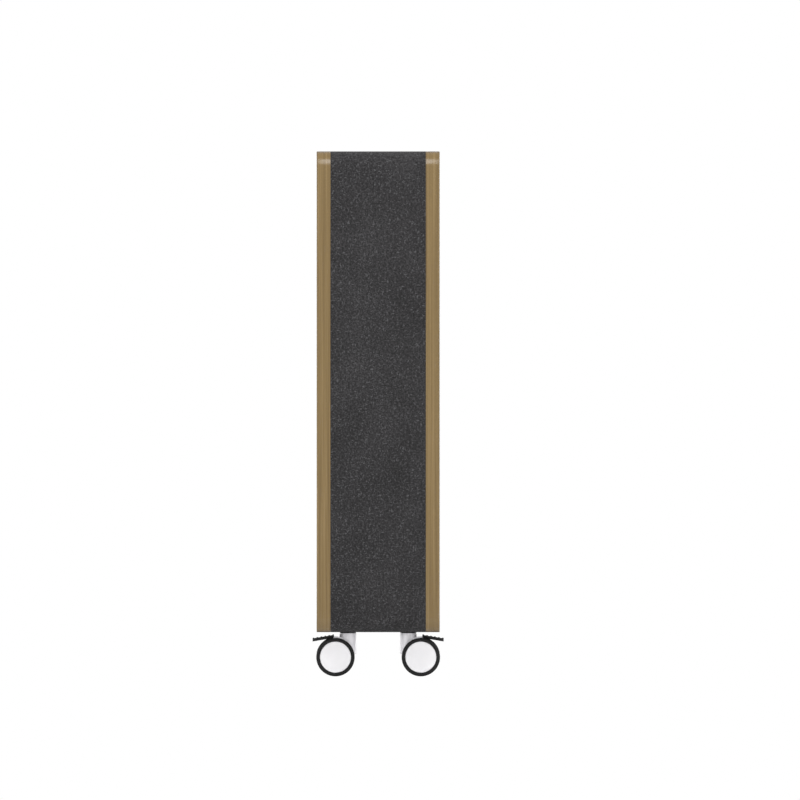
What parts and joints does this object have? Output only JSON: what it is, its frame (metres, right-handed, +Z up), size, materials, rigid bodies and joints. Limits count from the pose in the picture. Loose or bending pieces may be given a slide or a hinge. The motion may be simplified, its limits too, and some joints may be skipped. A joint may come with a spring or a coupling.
{
  "type": "partition wall",
  "caption": "Free-standing exhibition partition: two thick round-cornered wood boards on a felt-wrapped core, on low twin-wheel swivel castors with brake pedals.",
  "frame": {"origin": "on the floor under the middle of the wall", "axes": "+X along the wall, +Y from the front face to the rear face, +Z up"},
  "size_m": [1.6, 0.341, 1.365],
  "materials": {
    "board_wood": "satin",
    "band_felt": "matte",
    "plywood": "matte",
    "dowel_wood": "matte",
    "plate_steel": "satin",
    "bright_steel": "satin",
    "castor_white": "satin",
    "wheel_white": "satin",
    "black_plastic": "satin",
    "tyre": "matte"
  },
  "bodies": {
    "wall": {"carcass_bottom": "plywood", "carcass_end_left": "plywood", "carcass_end_right": "plywood", "carcass_top": "plywood", "castor_collars": "black_plastic", "castor_nuts": "bright_steel", "castor_plates": "plate_steel", "castor_stems": "bright_steel", "corner_block_bottom_left": "plywood", "corner_block_bottom_right": "plywood", "corner_block_top_left": "plywood", "corner_block_top_right": "plywood", "felt_band": "band_felt", "front_board": "board_wood", "front_dowels": "dowel_wood", "inner_upright_1": "plywood", "inner_upright_2": "plywood", "plate_screws": "bright_steel", "rear_board": "board_wood", "rear_dowels": "dowel_wood"},
    "front_left_castor": {"front_left_housing": "castor_white", "front_left_pins": "bright_steel"},
    "front_left_outer_wheel": {"front_left_outer_hub": "wheel_white", "front_left_outer_cap": "wheel_white", "front_left_outer_tyre": "tyre"},
    "front_left_inner_wheel": {"front_left_inner_hub": "wheel_white", "front_left_inner_cap": "wheel_white", "front_left_inner_tyre": "tyre"},
    "front_left_pedal": {"front_left_pedal": "black_plastic"},
    "front_right_castor": {"front_right_housing": "castor_white", "front_right_pins": "bright_steel"},
    "front_right_outer_wheel": {"front_right_outer_hub": "wheel_white", "front_right_outer_cap": "wheel_white", "front_right_outer_tyre": "tyre"},
    "front_right_inner_wheel": {"front_right_inner_hub": "wheel_white", "front_right_inner_cap": "wheel_white", "front_right_inner_tyre": "tyre"},
    "front_right_pedal": {"front_right_pedal": "black_plastic"},
    "rear_left_castor": {"rear_left_housing": "castor_white", "rear_left_pins": "bright_steel"},
    "rear_left_outer_wheel": {"rear_left_outer_hub": "wheel_white", "rear_left_outer_cap": "wheel_white", "rear_left_outer_tyre": "tyre"},
    "rear_left_inner_wheel": {"rear_left_inner_hub": "wheel_white", "rear_left_inner_cap": "wheel_white", "rear_left_inner_tyre": "tyre"},
    "rear_left_pedal": {"rear_left_pedal": "black_plastic"},
    "rear_right_castor": {"rear_right_housing": "castor_white", "rear_right_pins": "bright_steel"},
    "rear_right_outer_wheel": {"rear_right_outer_hub": "wheel_white", "rear_right_outer_cap": "wheel_white", "rear_right_outer_tyre": "tyre"},
    "rear_right_inner_wheel": {"rear_right_inner_hub": "wheel_white", "rear_right_inner_cap": "wheel_white", "rear_right_inner_tyre": "tyre"},
    "rear_right_pedal": {"rear_right_pedal": "black_plastic"}
  },
  "joints": [
    {"name": "front_left_swivel", "type": "hinge", "parent": "wall", "child": "front_left_castor", "pos_m": [-0.68, -0.0785, 0.09], "axis": [0, 0, 1], "continuous": true},
    {"name": "front_left_outer_wheel_spin", "type": "hinge", "parent": "front_left_castor", "child": "front_left_outer_wheel", "pos_m": [-0.68, -0.111, 0.05], "axis": [1, 0, 0], "continuous": true},
    {"name": "front_left_inner_wheel_spin", "type": "hinge", "parent": "front_left_castor", "child": "front_left_inner_wheel", "pos_m": [-0.68, -0.111, 0.05], "axis": [1, 0, 0], "continuous": true},
    {"name": "front_left_pedal_press", "type": "hinge", "parent": "front_left_castor", "child": "front_left_pedal", "pos_m": [-0.68, -0.1125, 0.094], "axis": [1, 0, 0], "range_deg": [0, 8]},
    {"name": "front_right_swivel", "type": "hinge", "parent": "wall", "child": "front_right_castor", "pos_m": [0.68, -0.0785, 0.09], "axis": [0, 0, 1], "continuous": true},
    {"name": "front_right_outer_wheel_spin", "type": "hinge", "parent": "front_right_castor", "child": "front_right_outer_wheel", "pos_m": [0.68, -0.111, 0.05], "axis": [1, 0, 0], "continuous": true},
    {"name": "front_right_inner_wheel_spin", "type": "hinge", "parent": "front_right_castor", "child": "front_right_inner_wheel", "pos_m": [0.68, -0.111, 0.05], "axis": [1, 0, 0], "continuous": true},
    {"name": "front_right_pedal_press", "type": "hinge", "parent": "front_right_castor", "child": "front_right_pedal", "pos_m": [0.68, -0.1125, 0.094], "axis": [1, 0, 0], "range_deg": [0, 8]},
    {"name": "rear_left_swivel", "type": "hinge", "parent": "wall", "child": "rear_left_castor", "pos_m": [-0.68, 0.0785, 0.09], "axis": [0, 0, 1], "range_deg": [-270, 270]},
    {"name": "rear_left_outer_wheel_spin", "type": "hinge", "parent": "rear_left_castor", "child": "rear_left_outer_wheel", "pos_m": [-0.68, 0.111, 0.05], "axis": [1, 0, 0], "continuous": true},
    {"name": "rear_left_inner_wheel_spin", "type": "hinge", "parent": "rear_left_castor", "child": "rear_left_inner_wheel", "pos_m": [-0.68, 0.111, 0.05], "axis": [1, 0, 0], "continuous": true},
    {"name": "rear_left_pedal_press", "type": "hinge", "parent": "rear_left_castor", "child": "rear_left_pedal", "pos_m": [-0.68, 0.1125, 0.094], "axis": [-1, 0, 0], "range_deg": [0, 8]},
    {"name": "rear_right_swivel", "type": "hinge", "parent": "wall", "child": "rear_right_castor", "pos_m": [0.68, 0.0785, 0.09], "axis": [0, 0, 1], "range_deg": [-270, 270]},
    {"name": "rear_right_outer_wheel_spin", "type": "hinge", "parent": "rear_right_castor", "child": "rear_right_outer_wheel", "pos_m": [0.68, 0.111, 0.05], "axis": [1, 0, 0], "continuous": true},
    {"name": "rear_right_inner_wheel_spin", "type": "hinge", "parent": "rear_right_castor", "child": "rear_right_inner_wheel", "pos_m": [0.68, 0.111, 0.05], "axis": [1, 0, 0], "continuous": true},
    {"name": "rear_right_pedal_press", "type": "hinge", "parent": "rear_right_castor", "child": "rear_right_pedal", "pos_m": [0.68, 0.1125, 0.094], "axis": [-1, 0, 0], "range_deg": [0, 8]}
  ]
}
